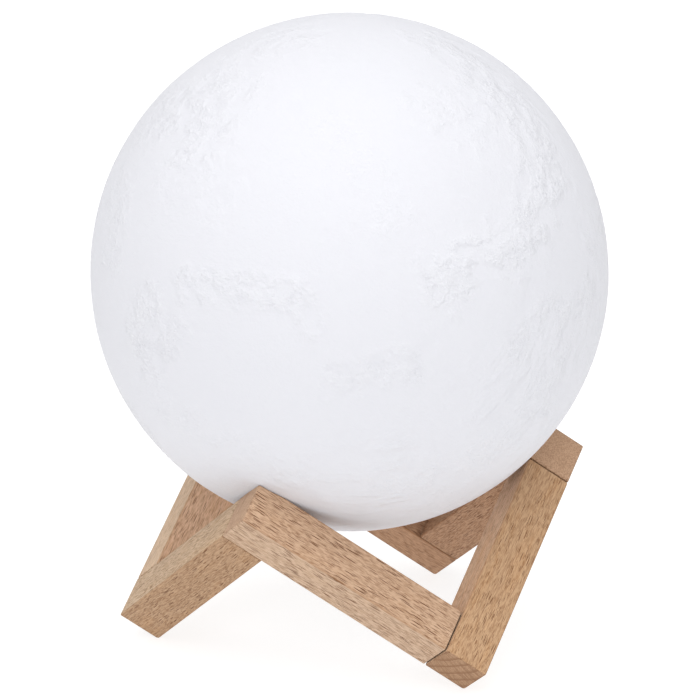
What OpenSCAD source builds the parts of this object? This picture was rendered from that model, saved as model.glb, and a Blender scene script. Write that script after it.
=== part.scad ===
// Moon lamp: a printed moon globe resting on a zigzag ring of six square wooden bars.
// Millimetres, +Z up. The origin is on the table, straight below the globe's centre.
// The stand follows six edges of a cube that is balanced on one corner.

/* [Globe] */
// Outer diameter of the moon globe
globe_d = 150; // [147:0.5:153]
// Wall thickness of the printed shell
shell_wall = 1.8; // [1.4:0.1:2.4]
// Depth of the seats that the globe makes in the stand's top corners
seat_sink = 0.8; // [0.5:0.1:1.5]
// Air gap between the globe and its seats
seat_gap = 0.2; // [0.2:0.05:0.4]
// Bore radius of the neck in the globe's underside
neck_r = 20.3; // [20.2:0.1:20.6]
// Wall thickness of the neck
neck_wall = 2; // [1.6:0.1:2.4]
// Height of the neck above its mouth
neck_h = 8.6; // [8:0.2:12]

/* [Stand] */
// Side of a bar's square section
bar_side = 13.6; // [13:0.1:14.5]
// Length of a bar, both ends included
bar_len = 70.4; // [68:0.2:72]
// Chamfer along the edges of a bar
bar_ease = 0.5; // [0.4:0.1:1]
// Height of the flat cut on the corner of each foot
foot_flat = 0.6; // [0.6:0.1:1.2]
// Diameter of the joint dowels
dowel_d = 6; // [5:0.5:7]
// Length of a joint dowel
dowel_len = 24; // [20:1:26]
// Depth of a dowel in the side of the bar that it holds on to
dowel_reach = 10; // [8:0.5:11]

/* [Base unit] */
// Thickness of the base cap's floor
cap_floor = 2.4; // [2.2:0.1:3]
// Outer radius of the barrel that carries the lights
barrel_r = 19.8; // [19.6:0.1:19.8]
// Wall thickness of the barrel
barrel_wall = 1.6; // [1.4:0.1:1.7]
// Height of the barrel above the base cap's floor
barrel_h = 52.6; // [52:0.2:56]
// Outer radius of the touch ring
touch_r = 18.6; // [18:0.1:19]
// Inner radius of the touch ring
touch_bore_r = 15.6; // [15.5:0.1:16]
// Thickness of the touch ring
touch_t = 1.2; // [1:0.1:1.4]

/* [Battery] */
// Width of the pouch cell
cell_w = 25; // [20:1:26]
// Thickness of the pouch cell
cell_t = 8; // [6:0.5:9]
// Height of the pouch cell
cell_h = 30; // [26:1:30]
// Thickness of the foam pads beside the cell
pad_t = 1.5; // [1:0.1:2]

/* [Hidden] */
$fn = 96;
globe_r = globe_d / 2;

// Stand: the near and far faces of a bar, measured along the cube's axes from the ring's centre
near = (bar_len - bar_side) / 2;
far = near + bar_side;
mid = near + bar_side / 2;
ring_z = (near + 2 * bar_side) / sqrt(3) - foot_flat;
dowel_r = dowel_d / 2;
dowel_glue = 0.03;
dowel_slack = 0.5;

// Globe: its centre lies on the cube's diagonal, seat_sink closer to the top corners than its radius
seat_lean = 2 * far - near;
seat_rest = 2 * far * far + near * near - pow(globe_r - seat_sink, 2);
globe_step = (seat_lean + sqrt(seat_lean * seat_lean - 3 * seat_rest)) / 3;
globe_z = ring_z + sqrt(3) * globe_step;
neck_out_r = neck_r + neck_wall;
mouth_drop = sqrt(globe_r * globe_r - neck_out_r * neck_out_r);

// Base unit: it fills the neck's mouth, and heights are measured up from the cap's floor
cap_r = neck_r - 0.2;
cap_ease = 0.6;
cap_proud = 0.2;
base_lift = cap_floor - cap_proud;
bead_z = 1;
bead_h = neck_h - base_lift - bead_z - 0.4;
spigot_r = barrel_r - barrel_wall - 0.2;
spigot_bore_r = spigot_r - 1.2;
spigot_h = 3;
touch_inset = 0.8;
touch_gap = 0.05;
touch_pin_r = 0.5;
touch_pin_x = -(touch_bore_r + touch_pin_r);
touch_pin_top = 1.6;
touch_pad_x = -15.2;

barrel_bore_r = barrel_r - barrel_wall;
boss_place_r = 13.2;
boss_angles = [30, 150, 270];
boss_r = 2.4;
boss_h = 9;
boss_rib_t = 1.4;
boss_screw_r = 1.05;
boss_screw_len = 7;
screw_head_r = 1.9;
screw_head_h = 1.3;
head_sink_r = 2.1;
head_sink = 1.5;

board_r = barrel_bore_r - 0.8;
board_t = 1.6;
board_z = 4.6;
board_top = board_z + board_t;
post_place_r = 12;
post_angles = [90, 210, 330];
post_r = 2.2;
small_screw_r = 0.8;
small_screw_len = 5;
small_head_r = 1.6;
small_head_h = 1.2;

socket_w = 7.5;
socket_t = 2.6;
socket_wall = 0.3;
socket_cut = 0.7;
socket_mouth = 0.3;
socket_z = socket_mouth - cap_floor;
socket_len = board_z - socket_z;
socket_plug_len = 4.6;
socket_gap = 0.3;
tongue_w = 3.8;
tongue_t = 0.7;
tongue_y = 0.25;
tongue_recess = 0.6;
pipe_x = 8;
pipe_r = 1.2;
pipe_flange = [0.6, 1];
charge_led_size = [2, 1.25, 0.8];
pipe_top = board_z - charge_led_size.z - 0.4;

// Parts on the control board: the size of each and its place there
controller_chip = [[10, 4, 1.6], [0, 4.5, 0]];
charger_chip = [[5, 4, 1.6], [-8, -1, 0]];
touch_chip = [[3, 1.6, 1.2], [-12.5, 2, 0]];
coil = [[5, 5, 2.8], [0, -3, 0]];
diode_size = [3, 1.5, 1.1];
diode_places = [[7.5, -1.5, 0], [7.5, 2, 0]];
resistor_size = [1.6, 0.8, 0.7];
resistor_pitch = 3;
resistor_y = -8.5;
capacitor_r = 2;
capacitor_h = 5.4;
capacitor_place = [12, 0.5, 0];

tray_z = 13.6;
tray_t = 1.2;
cell_z = tray_z + tray_t;
cell_ease = 1;
cradle_t = 1.5;
cradle_w = 16;
cradle_h = 25;
pad_w = 14;
pad_h = 22;
pad_rise = 2;
guard_w = 20;
guard_d = 5;
guard_t = 1.2;
guard_top = cell_z + cell_h + guard_t;

lead_x = 6.2;
lead_y = 10.8;
lead_slot_w = 5;
lead_slot_d = 4;
lead_r = 0.5;
lead_pitch = 1.5;
header_w = 5.5;
header_d = 3.6;
header_h = 4;
header_wall = 0.5;
header_floor = 0.8;
plug_gap = 0.05;
plug_top = board_top + header_h + 0.7;

led_board_t = 1.2;
led_board_z = barrel_h - 3;
led_board_top = led_board_z + led_board_t;
led_ledge_t = 1.4;
led_ledge_bore_r = barrel_bore_r - 2;
led_screw_y = 14.5;
led_boss_h = 5;
led_size = 5;
led_h = 1.6;
led_ring_r = 10;
dome_wall = 1.4;
dome_skirt_r = barrel_bore_r - 0.1;
dome_skirt_wall = 1.2;
dome_brim = 1.2;

// The leads' routes, each in an upright plane
touch_lead_route = [[touch_pin_x, 0, touch_pin_top], [touch_pin_x, 0, 2.4], [touch_pad_x, 0, 3.8],
    [touch_pad_x, 0, board_z]];
battery_lead_route = [[0, 0, guard_top], [0, 0.2, guard_top + 1], [0, 3, guard_top + 2],
    [0, 7.5, guard_top + 1.5], [0, 10.4, guard_top - 2], [0, lead_y, guard_top - 8],
    [0, lead_y, guard_top - 20], [0, lead_y, plug_top]];
led_lead_route = [[0, lead_y, board_top], [0, lead_y, board_top + 3], [0, lead_y + 0.6, 22],
    [0, lead_y, led_board_z - 5], [0, lead_y, led_board_z]];

wire_sides = 8;
wire_steps = 4;
hair = 0.01;

// Frames

// The cube's three axes all point upwards: X to the left, Y front right, Z back right
module cube_frame() rotate([45, -atan(1 / sqrt(2)), 180]) children();

module ring_frame() translate([0, 0, ring_z]) children();

module globe_frame() translate([0, 0, globe_z]) children();

module base_frame() translate([0, 0, globe_z - mouth_drop + base_lift]) children();

module around(radius, angles)
    for (angle = angles) rotate([0, 0, angle]) translate([radius, 0, 0]) children();

// Shared shapes

// X goes to Y, Y to Z and Z to X
module turn_axes() rotate([90, 0, 90]) children();

module eased_column(a, b, height, ease)
    linear_extrude(height) polygon([[ease, 0], [a - ease, 0], [a, ease], [a, b - ease],
        [a - ease, b], [ease, b], [0, b - ease], [0, ease]]);

module eased_block(size, ease) intersection() {
    eased_column(size.x, size.y, size.z, ease);
    turn_axes() eased_column(size.y, size.z, size.x, ease);
    turn_axes() turn_axes() eased_column(size.z, size.x, size.y, ease);
}

module tube(r_out, r_in, height) difference() {
    cylinder(r = r_out, h = height);
    translate([0, 0, -1]) cylinder(r = r_in, h = height + 2);
}

module block_on(size, at) translate([at.x - size.x / 2, at.y - size.y / 2, at.z]) cube(size);

// A pan-head screw, its head's underside at z = 0 and its shank going down
module screw(shank_r, shank_len, head_r, head_h) {
    translate([0, 0, -shank_len]) cylinder(r = shank_r, h = shank_len + hair);
    difference() {
        cylinder(r = head_r, h = head_h);
        for (turn = [0, 90]) rotate([0, 0, turn])
            block_on([head_r * 1.2, head_r * 0.25, head_h], [0, 0, head_h * 0.5]);
    }
}

// Points on a smooth curve through the given ones
function curve_point(a, b, c, d, t) = (2 * b + (c - a) * t + (2 * a - 5 * b + 4 * c - d) * t * t
    + (3 * b - a - 3 * c + d) * t * t * t) / 2;
function at_or_end(path, i) = path[max(0, min(len(path) - 1, i))];
function smooth(path) = concat(
    [for (i = [0 : len(path) - 2], s = [0 : wire_steps - 1])
        curve_point(at_or_end(path, i - 1), path[i], path[i + 1], at_or_end(path, i + 2),
            s / wire_steps)],
    [path[len(path) - 1]]);
function unit(v) = v / norm(v);
function upright(step) = [0, 0, sign(step.z)];
function along(line, i) = i == 0 ? upright(line[1] - line[0])
    : i == len(line) - 1 ? upright(line[i] - line[i - 1]) : unit(line[i + 1] - line[i - 1]);

// A round wire along a path that stays in one upright plane, square-ended; side is that plane's normal
module wire(path, radius, side) {
    line = smooth(path);
    count = len(line);
    rings = [for (i = [0 : count - 1]) let (up = cross(along(line, i), side))
        for (k = [0 : wire_sides - 1]) let (turn = 360 * k / wire_sides)
            line[i] + radius * (cos(turn) * side + sin(turn) * up)];
    walls = [for (i = [0 : count - 2], k = [0 : wire_sides - 1])
        let (a = i * wire_sides + k, b = i * wire_sides + (k + 1) % wire_sides)
            for (face = [[a, b, b + wire_sides], [a, b + wire_sides, a + wire_sides]]) face];
    last = (count - 1) * wire_sides;
    polyhedron(rings, concat(walls, [[for (k = [wire_sides - 1 : -1 : 0]) k]],
        [[for (k = [0 : wire_sides - 1]) last + k]]));
}

// Stand

// A dowel along X whose centre joint plane is at x = 0; it reaches into the other bar at x < 0
module dowel_along_x(radius, slack) translate([-dowel_reach - slack, 0, 0]) rotate([0, 90, 0])
    cylinder(r = radius, h = dowel_len + 2 * slack);

module foot_dowel(radius, slack)
    translate([-near, mid, -mid]) dowel_along_x(radius, slack);

module top_dowel(radius, slack)
    translate([mid, near, -mid]) rotate([0, 0, -90]) dowel_along_x(radius, slack);

// A bar that rises towards the cube's X: its top end covers the next bar, its foot end is covered
module bar_blank() difference() {
    translate([-near, near, -far]) eased_block([bar_len, bar_side, bar_side], bar_ease);
    foot_dowel(dowel_r, dowel_slack);
    top_dowel(dowel_r, dowel_slack);
}

module rising_bar(turn) color("burlywood") ring_frame() rotate([0, 0, turn]) cube_frame()
    difference() {
        bar_blank();
        translate([globe_step, globe_step, globe_step]) sphere(r = globe_r + seat_gap, $fn = 180);
    }

module falling_bar(turn) color("tan") difference() {
    ring_frame() rotate([0, 0, turn + 60]) mirror([0, 0, 1]) cube_frame() bar_blank();
    translate([-globe_r, -globe_r, -10]) cube([globe_d, globe_d, 10]);
}

module joint_dowels() color("wheat") ring_frame() for (turn = [0, 120, 240])
    rotate([0, 0, turn]) cube_frame() {
        foot_dowel(dowel_r - dowel_glue, 0);
        top_dowel(dowel_r - dowel_glue, 0);
    }

// Globe

module moon_shell() color("white") globe_frame() difference() {
    union() {
        difference() {
            sphere(r = globe_r, $fn = 180);
            sphere(r = globe_r - shell_wall, $fn = 180);
        }
        translate([0, 0, -mouth_drop]) cylinder(r = neck_out_r, h = neck_h);
    }
    translate([0, 0, -globe_r - 1]) cylinder(r = globe_r, h = globe_r + 1 - mouth_drop);
    translate([0, 0, -globe_r]) cylinder(r = neck_r, h = globe_r - mouth_drop + neck_h + 1);
}

module neck_glue_bead() color("ivory") base_frame() translate([0, 0, bead_z])
    tube(neck_r, barrel_r, bead_h);

// Base unit

module base_cap() color("whitesmoke") base_frame() difference() {
    union() {
        rotate_extrude() polygon([[0, -cap_floor], [cap_r - cap_ease, -cap_floor],
            [cap_r, cap_ease - cap_floor], [cap_r, 0], [0, 0]]);
        tube(spigot_r, spigot_bore_r, spigot_h);
        around(post_place_r, post_angles) cylinder(r = post_r, h = board_z);
    }
    translate([0, 0, -cap_floor - 1])
        tube(touch_r + touch_gap, touch_bore_r - touch_gap, 1 + touch_inset);
    translate([touch_pin_x, 0, -cap_floor]) cylinder(r = touch_pin_r + 0.1, h = cap_floor + 1);
    around(boss_place_r, boss_angles) {
        translate([0, 0, -cap_floor - 1]) cylinder(r = head_sink_r, h = 1 + head_sink);
        translate([0, 0, -cap_floor]) cylinder(r = boss_screw_r + 0.15, h = cap_floor + 1);
    }
    around(post_place_r, post_angles) translate([0, 0, board_z + board_t - small_screw_len])
        cylinder(r = small_screw_r, h = small_screw_len);
    translate([0, 0, -cap_floor - 1]) socket_prism(socket_gap, cap_floor + 2);
    translate([pipe_x, 0, -cap_floor - 1]) cylinder(r = pipe_r, h = cap_floor + 2);
}

module touch_ring() color("silver") base_frame() {
    translate([0, 0, touch_inset - cap_floor - touch_t]) tube(touch_r, touch_bore_r, touch_t);
    translate([touch_pin_x, 0, touch_inset - cap_floor - hair])
        cylinder(r = touch_pin_r, h = touch_pin_top + cap_floor - touch_inset + hair);
}

module lamp_barrel() color("snow") base_frame() difference() {
    union() {
        tube(barrel_r, barrel_bore_r, barrel_h);
        around(boss_place_r, boss_angles) {
            cylinder(r = boss_r, h = boss_h);
            translate([0, -boss_rib_t / 2, spigot_h + 0.2])
                cube([barrel_bore_r - boss_place_r + 0.5, boss_rib_t, boss_h - spigot_h - 0.2]);
        }
        translate([0, 0, tray_z]) cylinder(r = barrel_bore_r + 0.5, h = tray_t);
        for (side = [-1, 1])
            block_on([cradle_w, cradle_t, cradle_h], [0, side * (cell_t / 2 + pad_t + cradle_t / 2),
                cell_z - hair]);
        translate([0, 0, led_board_z - led_ledge_t])
            tube(barrel_bore_r + 0.5, led_ledge_bore_r, led_ledge_t);
        for (side = [-1, 1]) {
            translate([0, side * led_screw_y, led_board_z - led_boss_h])
                cylinder(r = post_r, h = led_boss_h);
            block_on([boss_rib_t, barrel_bore_r + 0.5 - led_screw_y, led_boss_h],
                [0, side * (barrel_bore_r + 0.5 + led_screw_y) / 2, led_board_z - led_boss_h]);
        }
    }
    around(boss_place_r, boss_angles) translate([0, 0, -1])
        cylinder(r = boss_screw_r, h = boss_screw_len + 1);
    for (side = [-1, 1]) {
        block_on([lead_slot_w, lead_slot_d, tray_t + 2], [side * lead_x, lead_y, tray_z - 1]);
        translate([0, side * led_screw_y, led_board_z - small_screw_len + led_board_t])
            cylinder(r = small_screw_r, h = small_screw_len);
    }
}

module barrel_screws() color("lightgray") base_frame() around(boss_place_r, boss_angles)
    translate([0, 0, head_sink - cap_floor]) mirror([0, 0, 1])
        screw(boss_screw_r, boss_screw_len + cap_floor - head_sink - 1, screw_head_r, screw_head_h);

// Controls

module control_board() color("darkgreen") base_frame() translate([0, 0, board_z]) difference() {
    cylinder(r = board_r, h = board_t);
    around(boss_place_r, boss_angles) {
        translate([0, 0, -1]) cylinder(r = boss_r + 0.5, h = board_t + 2);
        translate([0, -boss_rib_t, -1]) cube([board_r, 2 * boss_rib_t, board_t + 2]);
    }
    around(post_place_r, post_angles) translate([0, 0, -1])
        cylinder(r = small_screw_r + 0.1, h = board_t + 2);
}

module board_screws() color("lightgray") base_frame() around(post_place_r, post_angles)
    translate([0, 0, board_top])
        screw(small_screw_r, small_screw_len - 0.5, small_head_r, small_head_h);

// Chips, coil and capacitors, each standing on the control board
module board_components() color("dimgray") base_frame() translate([0, 0, board_top]) {
    for (item = [controller_chip, charger_chip, touch_chip, coil]) block_on(item[0], item[1]);
    for (place = diode_places) block_on(diode_size, place);
    for (step = [-2 : 2]) block_on(resistor_size, [step * resistor_pitch, resistor_y, 0]);
    translate(capacitor_place) cylinder(r = capacitor_r, h = capacitor_h);
}

// The socket's outline grown by gap; it is narrower on one long side
module socket_prism(gap, height) {
    w = socket_w / 2 + gap;
    t = socket_t / 2 + gap;
    linear_extrude(height) polygon([[-w, t], [w, t], [w, socket_cut - t], [w - socket_cut, -t],
        [socket_cut - w, -t], [-w, socket_cut - t]]);
}

module charging_socket() color("silver") base_frame() translate([0, 0, socket_z]) difference() {
    socket_prism(0, socket_len);
    translate([0, 0, -1]) socket_prism(-socket_wall, socket_len + 2);
}

module socket_tongue() color("black") base_frame() {
    translate([0, 0, socket_z + socket_plug_len])
        socket_prism(-socket_wall, socket_len - socket_plug_len);
    block_on([tongue_w, tongue_t, socket_plug_len], [0, tongue_y, socket_z + tongue_recess]);
}

module charge_led() color("khaki") base_frame()
    block_on(charge_led_size, [pipe_x, 0, board_z - charge_led_size.z]);

module light_pipe() color("azure") base_frame() translate([pipe_x, 0, 0]) {
    translate([0, 0, -cap_floor]) cylinder(r = pipe_r, h = cap_floor + pipe_top);
    cylinder(r = pipe_r + pipe_flange[0], h = pipe_flange[1]);
}

module touch_lead() color("green") base_frame() wire(touch_lead_route, lead_r * 0.8, [0, 1, 0]);

// Battery

module battery_header() color("ivory") base_frame() difference() {
    block_on([header_w, header_d, header_h], [lead_x, lead_y, board_top]);
    block_on([header_w - 2 * header_wall, header_d - 2 * header_wall, header_h],
        [lead_x, lead_y, board_top + header_floor]);
}

module battery_plug() color("linen") base_frame()
    block_on([header_w - 2 * (header_wall + plug_gap), header_d - 2 * (header_wall + plug_gap),
        plug_top - board_top - header_floor], [lead_x, lead_y, board_top + header_floor]);

// Red and black leads, from the cell's guard board over its cradle and down to the plug
module battery_leads() color("firebrick") base_frame() for (side = [-0.5, 0.5])
    translate([lead_x + side * lead_pitch, 0, 0]) wire(battery_lead_route, lead_r, [1, 0, 0]);

module battery_cell() color("gainsboro") base_frame()
    translate([-cell_w / 2, -cell_t / 2, cell_z])
        eased_block([cell_w, cell_t, cell_h], cell_ease);

module cell_guard_board() color("darkgreen") base_frame()
    block_on([guard_w, guard_d, guard_t], [0, 0, cell_z + cell_h]);

module cell_foam_pads() color("slategray") base_frame() for (side = [-1, 1])
    block_on([pad_w, pad_t, pad_h], [0, side * (cell_t + pad_t) / 2, cell_z + pad_rise]);

// Lights

module led_board() color("white") base_frame() translate([0, 0, led_board_z]) difference() {
    cylinder(r = dome_skirt_r, h = led_board_t);
    for (side = [-1, 1]) translate([0, side * led_screw_y, -1])
        cylinder(r = small_screw_r + 0.1, h = led_board_t + 2);
}

module led_board_screws() color("lightgray") base_frame() for (side = [-1, 1])
    translate([0, side * led_screw_y, led_board_top])
        screw(small_screw_r, small_screw_len - 0.5, small_head_r, small_head_h);

module led_chips() color("lightyellow") base_frame() translate([0, 0, led_board_top]) {
    block_on([led_size, led_size, led_h], [0, 0, 0]);
    around(led_ring_r, [0 : 60 : 300]) block_on([led_size, led_size, led_h], [0, 0, 0]);
}

module led_leads() color("gold") base_frame() for (step = [-1 : 1])
    translate([-lead_x + step * lead_pitch, 0, 0]) wire(led_lead_route, lead_r, [1, 0, 0]);

module led_diffuser() color("white", 0.6) base_frame() {
    translate([0, 0, barrel_h]) difference() {
        sphere(r = barrel_r);
        sphere(r = barrel_r - dome_wall);
        translate([0, 0, -barrel_r - 1]) cylinder(r = barrel_r + 1, h = barrel_r + 1);
    }
    translate([0, 0, led_board_top])
        tube(dome_skirt_r, dome_skirt_r - dome_skirt_wall, barrel_h - led_board_top + dome_brim);
    translate([0, 0, barrel_h])
        tube(barrel_r - dome_wall / 2, dome_skirt_r - dome_skirt_wall, dome_brim);
}

rising_bar(0);  // front_bar
falling_bar(0);  // front_right_bar
rising_bar(120);  // back_right_bar
falling_bar(120);  // back_bar
rising_bar(240);  // back_left_bar
falling_bar(240);  // front_left_bar
joint_dowels();
moon_shell();
neck_glue_bead();
base_cap();
touch_ring();
lamp_barrel();
barrel_screws();
control_board();
board_screws();
board_components();
charging_socket();
socket_tongue();
charge_led();
light_pipe();
touch_lead();
battery_header();
battery_plug();
battery_leads();
battery_cell();
cell_guard_board();
cell_foam_pads();
led_board();
led_board_screws();
led_chips();
led_leads();
led_diffuser();
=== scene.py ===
import math
import random
import bpy
from mathutils import Matrix, Vector, kdtree, noise


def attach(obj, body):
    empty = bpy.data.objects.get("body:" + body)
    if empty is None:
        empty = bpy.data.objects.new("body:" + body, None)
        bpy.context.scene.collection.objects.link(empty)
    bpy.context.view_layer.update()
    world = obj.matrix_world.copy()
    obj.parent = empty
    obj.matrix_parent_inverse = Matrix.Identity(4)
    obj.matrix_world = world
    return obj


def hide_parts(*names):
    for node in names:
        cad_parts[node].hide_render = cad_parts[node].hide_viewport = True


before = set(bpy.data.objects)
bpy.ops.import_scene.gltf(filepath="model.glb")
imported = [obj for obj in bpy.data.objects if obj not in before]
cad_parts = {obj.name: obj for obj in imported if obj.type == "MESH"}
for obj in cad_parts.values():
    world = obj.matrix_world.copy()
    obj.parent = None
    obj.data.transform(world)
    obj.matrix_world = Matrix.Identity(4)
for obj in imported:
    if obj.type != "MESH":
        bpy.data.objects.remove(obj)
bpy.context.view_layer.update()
mm = 0.001
hair = 1e-7  # metres, for cuts
slack = 1e-6  # metres, within which points count as level or as one


# materials: maths on sockets reads as plain expressions
class Strand:
    def __init__(self, paint, socket):
        self.paint = paint
        self.socket = socket

    def work(self, operation, a, b=0.0, c=0.0):
        return self.paint.node("Math", {"operation": operation}, {0: a, 1: b, 2: c})

    def __add__(self, other):
        return self.work("ADD", self, other)

    def __sub__(self, other):
        return self.work("SUBTRACT", self, other)

    def __rsub__(self, other):
        return self.work("SUBTRACT", other, self)

    def __mul__(self, other):
        return self.work("MULTIPLY", self, other)

    def __truediv__(self, other):
        return self.work("DIVIDE", self, other)

    def __pow__(self, other):
        return self.work("POWER", self, other)

    __radd__ = __add__
    __rmul__ = __mul__

    def other(self, out):  # another output of the same node
        return Strand(self.paint, self.socket.node.outputs[out])

    def part(self):  # what is left after the whole number
        return self.work("FRACT", self)

    def size(self):
        return self.work("ABSOLUTE", self)

    def over(self, low, high):  # 0 below low, 1 above high, smooth between
        settings = {"interpolation_type": "SMOOTHSTEP"}
        return self.paint.node("MapRange", settings, {0: self, 1: low, 2: high})

    def most(self, other):
        return self.work("MAXIMUM", self, other)

    def least(self, other):
        return self.work("MINIMUM", self, other)

    def turn(self, other):  # the angle round the middle, from how far up and how far along
        return self.work("ARCTAN2", self, other)


class Paint:
    def __init__(self, name, **constants):
        self.material = bpy.data.materials.new(name)
        self.material.use_nodes = True
        self.tree = self.material.node_tree
        self.shader = self.tree.nodes["Principled BSDF"]
        for socket, value in constants.items():
            self.shader.inputs[socket.replace("_", " ")].default_value = value

    def node(self, kind, settings=None, sockets=None, out=0):
        made = self.tree.nodes.new("ShaderNode" + kind)
        for key, value in (settings or {}).items():
            setattr(made, key, value)
        for key, value in (sockets or {}).items():
            self.feed(made.inputs[key], value)
        return Strand(self, made.outputs[out])

    def feed(self, socket, value):
        if isinstance(value, Strand):
            self.tree.links.new(value.socket, socket)
        else:
            socket.default_value = value

    def set(self, socket, value):
        self.feed(self.shader.inputs[socket], value)

    def place(self, scale=(1, 1, 1), shift=(0, 0, 0), vector=None):  # where a pattern is read
        vector = vector or self.node("TexCoord", out=3)
        settings = {"operation": "MULTIPLY_ADD"}
        return self.node("VectorMath", settings, {0: vector, 1: scale, 2: shift})

    def grain(self, at, scale=1.0, detail=2.0, rough=0.5, warp=0.0):
        sockets = {"Vector": at, "Scale": scale, "Detail": detail, "Roughness": rough,
                   "Distortion": warp}
        return self.node("TexNoise", None, sockets)

    def mix(self, share, a, b):
        return self.node("Mix", {"data_type": "RGBA"}, {0: share, 6: a, 7: b}, out=2)

    def times(self, tone, tilt):  # a colour made lighter or deeper by three numbers
        return self.node("VectorMath", {"operation": "MULTIPLY"}, {0: tone, 1: tilt})

    def bump(self, height, depth, strength=1.0):
        sockets = {"Height": height, "Distance": depth, "Strength": strength}
        return self.node("Bump", None, sockets)


def colour(red, green, blue):  # from 0 to 255 as seen on a screen
    def linear(v):  # the curve that screens use
        v = v / 255
        return v / 12.92 if v <= 0.04045 else ((v + 0.055) / 1.055) ** 2.4

    return (linear(red), linear(green), linear(blue), 1.0)


def tinted(tone, red, green, blue):  # a tone made lighter or deeper
    return (tone[0] * red, tone[1] * green, tone[2] * blue, 1.0)


def axes(paint, at):
    x = paint.node("SeparateXYZ", None, {0: at})
    return x, x.other(1), x.other(2)


# modelling: each step works on one selected piece
def only(piece):
    bpy.ops.object.select_all(action="DESELECT")
    piece.select_set(True)
    bpy.context.view_layer.objects.active = piece


def edit(piece):
    only(piece)
    bpy.ops.object.mode_set(mode="EDIT")
    bpy.ops.mesh.select_mode(type="VERT")
    bpy.ops.mesh.select_all(action="DESELECT")


def done():
    bpy.ops.object.mode_set(mode="OBJECT")


def pick(piece, test):  # selects the vertices that pass the test, from edit mode
    bpy.ops.mesh.select_all(action="DESELECT")
    bpy.ops.object.mode_set(mode="OBJECT")
    for v in piece.data.vertices:
        v.select = bool(test(v.co))
    bpy.ops.object.mode_set(mode="EDIT")


def settle(piece):  # puts the object's own place into its mesh
    only(piece)
    bpy.ops.object.transform_apply(location=True, rotation=True, scale=True)


def finishWith(piece, kind, **settings):
    only(piece)
    made = piece.modifiers.new(kind.lower(), kind)
    for key, value in settings.items():
        setattr(made, key, value)
    bpy.ops.object.modifier_apply(modifier=made.name)


def faceOut(piece):
    edit(piece)
    bpy.ops.mesh.select_all(action="SELECT")
    bpy.ops.mesh.normals_make_consistent(inside=False)
    done()


def cutBelow(piece, height, fill=False):
    edit(piece)
    bpy.ops.mesh.select_all(action="SELECT")
    bpy.ops.mesh.bisect(plane_co=(0, 0, height), plane_no=(0, 0, 1), clear_inner=True,
                        use_fill=fill, threshold=hair)
    done()


def smooth(piece, degrees=35):
    only(piece)
    bpy.ops.object.shade_smooth_by_angle(angle=math.radians(degrees))


def dress(piece, name, body, material, nodes=()):
    piece.name = name
    piece.data.name = name
    piece.data.materials.clear()
    piece.data.materials.append(material)
    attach(piece, body)
    if nodes:
        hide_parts(*nodes)


# camera, floor and light: azimuths and elevations are in degrees, and the front is azimuth 0
view = {"azimuth": -3.62, "elevation": 16.59, "distance": 1408 * mm, "rise": 53.2 * mm,
        "roll": 0.43, "lens": 246.07, "sensor": 36.0, "clip": (0.05, 50)}
room = {"floorSize": 12.0, "floorTone": (0.3, 0.3, 0.3, 1), "floorGlow": 0.8, "floorRough": 0.7,
        "mottle": 3.0, "mottleTone": 1.03, "sky": 0.5,
        "windowLight": (-8, 12, 60, 0.42),  # azimuth, elevation, spread and energy
        "skyLight": (-15, 60, 60, 0.8),
        "topLight": (0, 80, 70, 1.38)}


def wayFrom(azimuth, elevation):  # points from the lamp to where a camera or a light stands
    a = math.radians(azimuth)
    e = math.radians(elevation)
    return Vector((math.sin(a) * math.cos(e), -math.cos(a) * math.cos(e), math.sin(e)))


def makeCamera():
    back = wayFrom(view["azimuth"], view["elevation"])
    turn = (-back).to_track_quat("-Z", "Y").to_matrix()
    up = turn @ Vector((0, 1, 0))
    data = bpy.data.cameras.new("photoView")
    data.sensor_width = view["sensor"]
    data.lens = view["lens"]
    data.clip_start, data.clip_end = view["clip"]
    camera = bpy.data.objects.new("photoView", data)
    bpy.context.scene.collection.objects.link(camera)
    place = Vector((0, 0, ringHeight)) + back * view["distance"] + up * view["rise"]
    spin = Matrix.Rotation(-math.radians(view["roll"]), 3, "Z")
    camera.matrix_world = Matrix.Translation(place) @ (turn @ spin).to_4x4()
    bpy.context.scene.camera = camera


def softSun(name, azimuth, elevation, spread, energy):
    data = bpy.data.lights.new(name, "SUN")
    data.angle = math.radians(spread)
    data.energy = energy
    lamp = bpy.data.objects.new(name, data)
    bpy.context.scene.collection.objects.link(lamp)
    lamp.location = wayFrom(azimuth, elevation)
    lamp.rotation_euler = wayFrom(azimuth, elevation).to_track_quat("Z", "Y").to_euler()


def makeRoom():
    world = bpy.data.worlds.new("paleRoom")
    world.use_nodes = True
    sky = world.node_tree.nodes["Background"].inputs
    sky["Strength"].default_value = room["sky"]
    sky["Color"].default_value = (1, 1, 1, 1)
    bpy.context.scene.world = world
    bpy.context.scene.view_settings.view_transform = "Standard"
    bpy.ops.object.select_all(action="DESELECT")
    bpy.ops.mesh.primitive_plane_add(size=room["floorSize"])
    floor = bpy.context.object
    floor.name = "paleFloor"
    paint = Paint("paleFloor", Roughness=room["floorRough"], Emission_Color=(1, 1, 1, 1),
                  Emission_Strength=room["floorGlow"])  # a softly lit table
    tone = room["floorTone"]
    lighter = tinted(tone, *(room["mottleTone"],) * 3)
    paint.set("Base Color", paint.mix(paint.grain(paint.place(), room["mottle"]), tone, lighter))
    floor.data.materials.append(paint.material)
    for name in ("windowLight", "skyLight", "topLight"):
        softSun(name, *room[name])


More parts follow.
